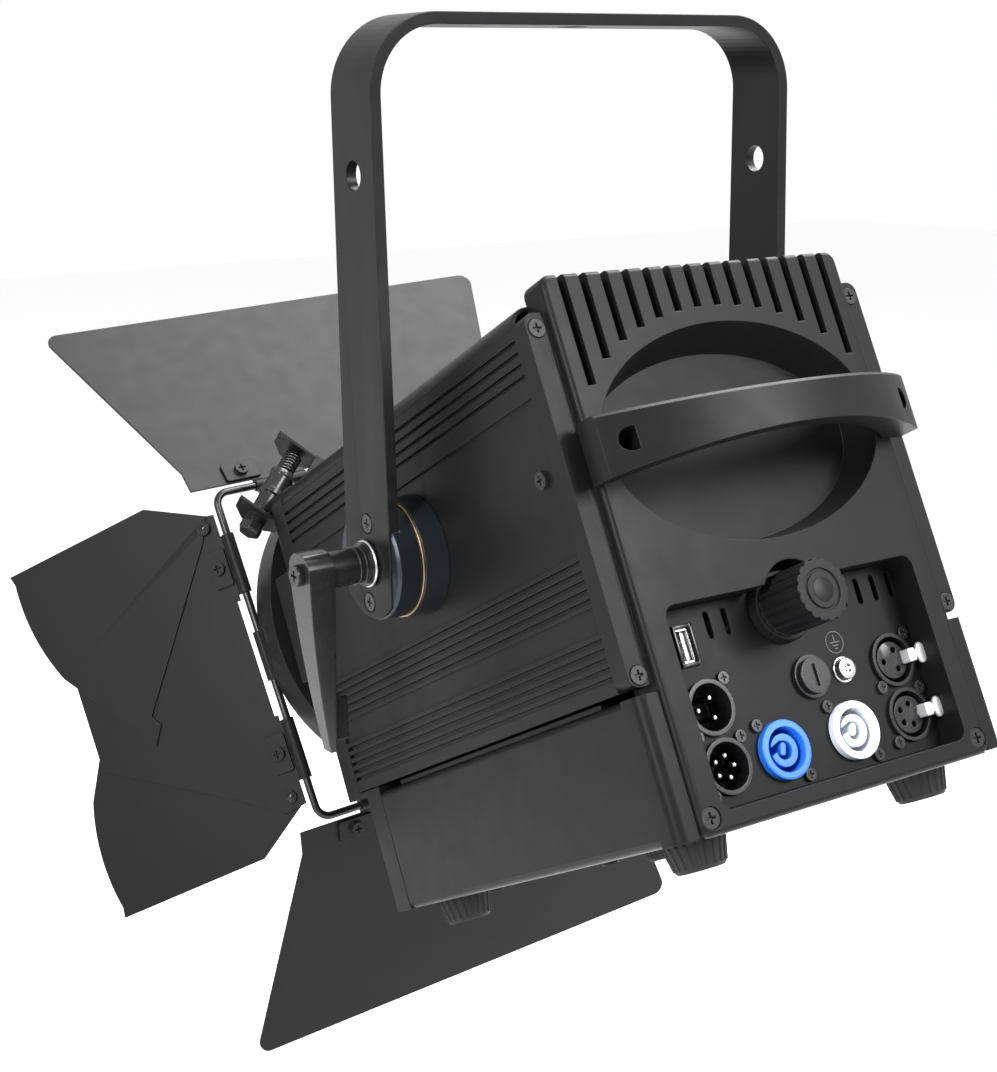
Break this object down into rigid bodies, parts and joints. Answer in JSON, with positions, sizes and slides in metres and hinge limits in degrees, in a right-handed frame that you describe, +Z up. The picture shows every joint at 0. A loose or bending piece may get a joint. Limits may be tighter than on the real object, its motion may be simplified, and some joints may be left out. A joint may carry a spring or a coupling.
{
  "type": "theatre fresnel spotlight",
  "caption": "Compact black theatre spotlight with a stepped lens, hung in a U-shaped yoke, with folding barndoors, a back panel of sockets and a zoom knob.",
  "frame": {"origin": "centre of the hole in the yoke's top bar, at the bar's top face, where the hook clamp bolts on", "axes": "+Z up along the yoke, -Y the way the light points before the head is tilted, +X the side with the clamp lever"},
  "size_m": [0.36, 0.4649, 0.5039],
  "materials": {
    "yoke_paint": "satin black powder coat",
    "case_paint": "fine textured black powder coat",
    "door_paint": "satin black",
    "black_plastic": "moulded matte",
    "knob_plastic": "semi-gloss",
    "blue_plastic": "semi-gloss",
    "white_plastic": "semi-gloss",
    "rubber": "matte",
    "zinc_steel": "zinc plated",
    "black_steel": "black oxide",
    "bronze": "bronze washer",
    "disc_aluminium": "black anodised, bright chamfer",
    "bare_aluminium": "mill finish",
    "lens_glass": "clear stepped lens",
    "led_ceramic": "phosphor coated"
  },
  "bodies": {
    "yoke": {"yoke": "yoke_paint", "yoke_discs": "disc_aluminium", "disc_screws": "zinc_steel", "friction_washers": "bronze", "pivot_studs": "zinc_steel"},
    "lever": {"tilt_lever": "black_plastic", "lever_screw": "black_steel"},
    "head": {"front_bezel": "case_paint", "left_side_panel": "case_paint", "right_side_panel": "case_paint", "roof_panel": "case_paint", "base_tray": "case_paint", "divider_plate": "bare_aluminium", "feet": "rubber", "back_cover": "case_paint", "cover_screws": "zinc_steel", "carry_handle": "case_paint", "connector_panel": "case_paint", "xlr_male_sockets": "zinc_steel", "xlr_female_sockets": "black_steel", "power_inlet": "blue_plastic", "power_outlet": "white_plastic", "panel_screws": "zinc_steel", "usb_port": "zinc_steel", "fuse_holder": "black_plastic", "housing_discs": "disc_aluminium", "accessory_brackets": "door_paint", "lens_holder": "bare_aluminium", "fresnel_lens": "lens_glass", "guide_rods": "zinc_steel", "power_supply": "bare_aluminium", "clip_bracket": "door_paint", "clip_spring": "zinc_steel", "display_panel": "black_plastic"},
    "led_carriage": {"heat_sink": "bare_aluminium", "led_module": "led_ceramic", "fan_frame": "black_plastic"},
    "fan": {"fan_rotor": "black_plastic"},
    "zoom": {"zoom_knob": "knob_plastic", "zoom_spindle": "zinc_steel"},
    "fuse": {"fuse_cap": "black_plastic"},
    "latch_upper": {"release_latch_upper": "black_steel"},
    "latch_lower": {"release_latch_lower": "black_steel"},
    "menu": {"menu_knob": "knob_plastic"},
    "clip": {"retaining_clip": "door_paint"},
    "door_frame": {"door_ring": "door_paint", "door_rod": "black_steel"},
    "leaf_top": {"top_leaf": "door_paint", "top_leaf_clips": "black_steel"},
    "leaf_bottom": {"bottom_leaf": "door_paint", "bottom_leaf_clips": "black_steel"},
    "leaf_left": {"left_leaf": "door_paint", "left_leaf_clips": "black_steel"},
    "leaf_right": {"right_leaf": "door_paint", "right_leaf_clips": "black_steel"},
    "wing_left_upper": {"left_upper_wing": "door_paint"},
    "wing_left_lower": {"left_lower_wing": "door_paint"},
    "wing_right_upper": {"right_upper_wing": "door_paint"},
    "wing_right_lower": {"right_lower_wing": "door_paint"}
  },
  "joints": [
    {"name": "head_tilt", "type": "hinge", "parent": "yoke", "child": "head", "pos_m": [0, 0, -0.224], "axis": [1, 0, 0], "range_deg": [-45, 60]},
    {"name": "lever_turn", "type": "hinge", "parent": "yoke", "child": "lever", "pos_m": [0.12, 0, -0.224], "axis": [1, 0, 0], "range_deg": [-60, 60]},
    {"name": "zoom_slide", "type": "slide", "parent": "head", "child": "led_carriage", "axis": [0, 0.8886, 0.4587], "range_m": [-0.022, 0.022]},
    {"name": "zoom_turn", "type": "hinge", "parent": "head", "child": "zoom", "pos_m": [0, 0.13842, -0.23054], "axis": [0, 0.8886, 0.4587], "range_deg": [-721, 721]},
    {"name": "fan_spin", "type": "hinge", "parent": "led_carriage", "child": "fan", "pos_m": [0, 0.06309, -0.19144], "axis": [0, 0.8886, 0.4587], "continuous": true},
    {"name": "fuse_cap_turn", "type": "hinge", "parent": "head", "child": "fuse", "pos_m": [-0.0061, 0.15218, -0.2572], "axis": [0, 0.8886, 0.4587], "range_deg": [-90, 0]},
    {"name": "latch_upper_press", "type": "slide", "parent": "head", "child": "latch_upper", "axis": [0, -0.8886, -0.4587], "range_m": [0, 0.0015], "stiffness_N_per_m": 800, "springref_m": -0.001},
    {"name": "latch_lower_press", "type": "slide", "parent": "head", "child": "latch_lower", "axis": [0, -0.8886, -0.4587], "range_m": [0, 0.0015], "stiffness_N_per_m": 800, "springref_m": -0.001},
    {"name": "menu_turn", "type": "hinge", "parent": "head", "child": "menu", "pos_m": [-0.088, 0.03858, -0.338], "axis": [-1, 0, 0], "continuous": true},
    {"name": "clip_swing", "type": "hinge", "parent": "head", "child": "clip", "pos_m": [0.0741, -0.15484, -0.22053], "axis": [0.7071, 0.3243, -0.6283], "range_deg": [-20, 0], "stiffness_Nm_per_rad": 0.04, "springref_deg": 17.19},
    {"name": "ring_turn", "type": "hinge", "parent": "head", "child": "door_frame", "pos_m": [0, -0.15195, -0.30243], "axis": [0, -0.8886, -0.4587], "continuous": true},
    {"name": "top_leaf_fold", "type": "hinge", "parent": "door_frame", "child": "leaf_top", "pos_m": [0.00521, -0.19215, -0.22455], "axis": [0.9982, 0.0272, -0.0527], "range_deg": [-19.6, 35]},
    {"name": "bottom_leaf_fold", "type": "hinge", "parent": "door_frame", "child": "leaf_bottom", "pos_m": [-0.00521, -0.11175, -0.38031], "axis": [-0.9982, -0.0272, 0.0527], "range_deg": [-27.5, 27]},
    {"name": "left_leaf_fold", "type": "hinge", "parent": "door_frame", "child": "leaf_left", "pos_m": [0.08765, -0.14957, -0.30706], "axis": [-0.0593, 0.4578, -0.8871], "range_deg": [-33, 35]},
    {"name": "right_leaf_fold", "type": "hinge", "parent": "door_frame", "child": "leaf_right", "pos_m": [-0.08765, -0.15434, -0.2978], "axis": [0.0593, -0.4578, 0.8871], "range_deg": [-33, 35]},
    {"name": "left_upper_wing_turn", "type": "hinge", "parent": "leaf_left", "child": "wing_left_upper", "pos_m": [0.09957, -0.18938, -0.24656], "axis": [-0.7059, -0.6476, -0.287], "range_deg": [-2, 22]},
    {"name": "left_lower_wing_turn", "type": "hinge", "parent": "leaf_left", "child": "wing_left_lower", "pos_m": [0.09096, -0.1229, -0.37536], "axis": [0.7059, 0.6476, 0.287], "range_deg": [-9, 14]},
    {"name": "right_upper_wing_turn", "type": "hinge", "parent": "leaf_right", "child": "wing_right_upper", "pos_m": [-0.09957, -0.1281, -0.3653], "axis": [0.7059, -0.6091, -0.3616], "range_deg": [-2, 22]},
    {"name": "right_lower_wing_turn", "type": "hinge", "parent": "leaf_right", "child": "wing_right_lower", "pos_m": [-0.09096, -0.19457, -0.2365], "axis": [-0.7059, 0.6091, 0.3616], "range_deg": [-9, 14]}
  ],
  "couplings": [
    {"joint": "zoom_turn", "follows": "zoom_slide", "rad_per_m": 571}
  ]
}
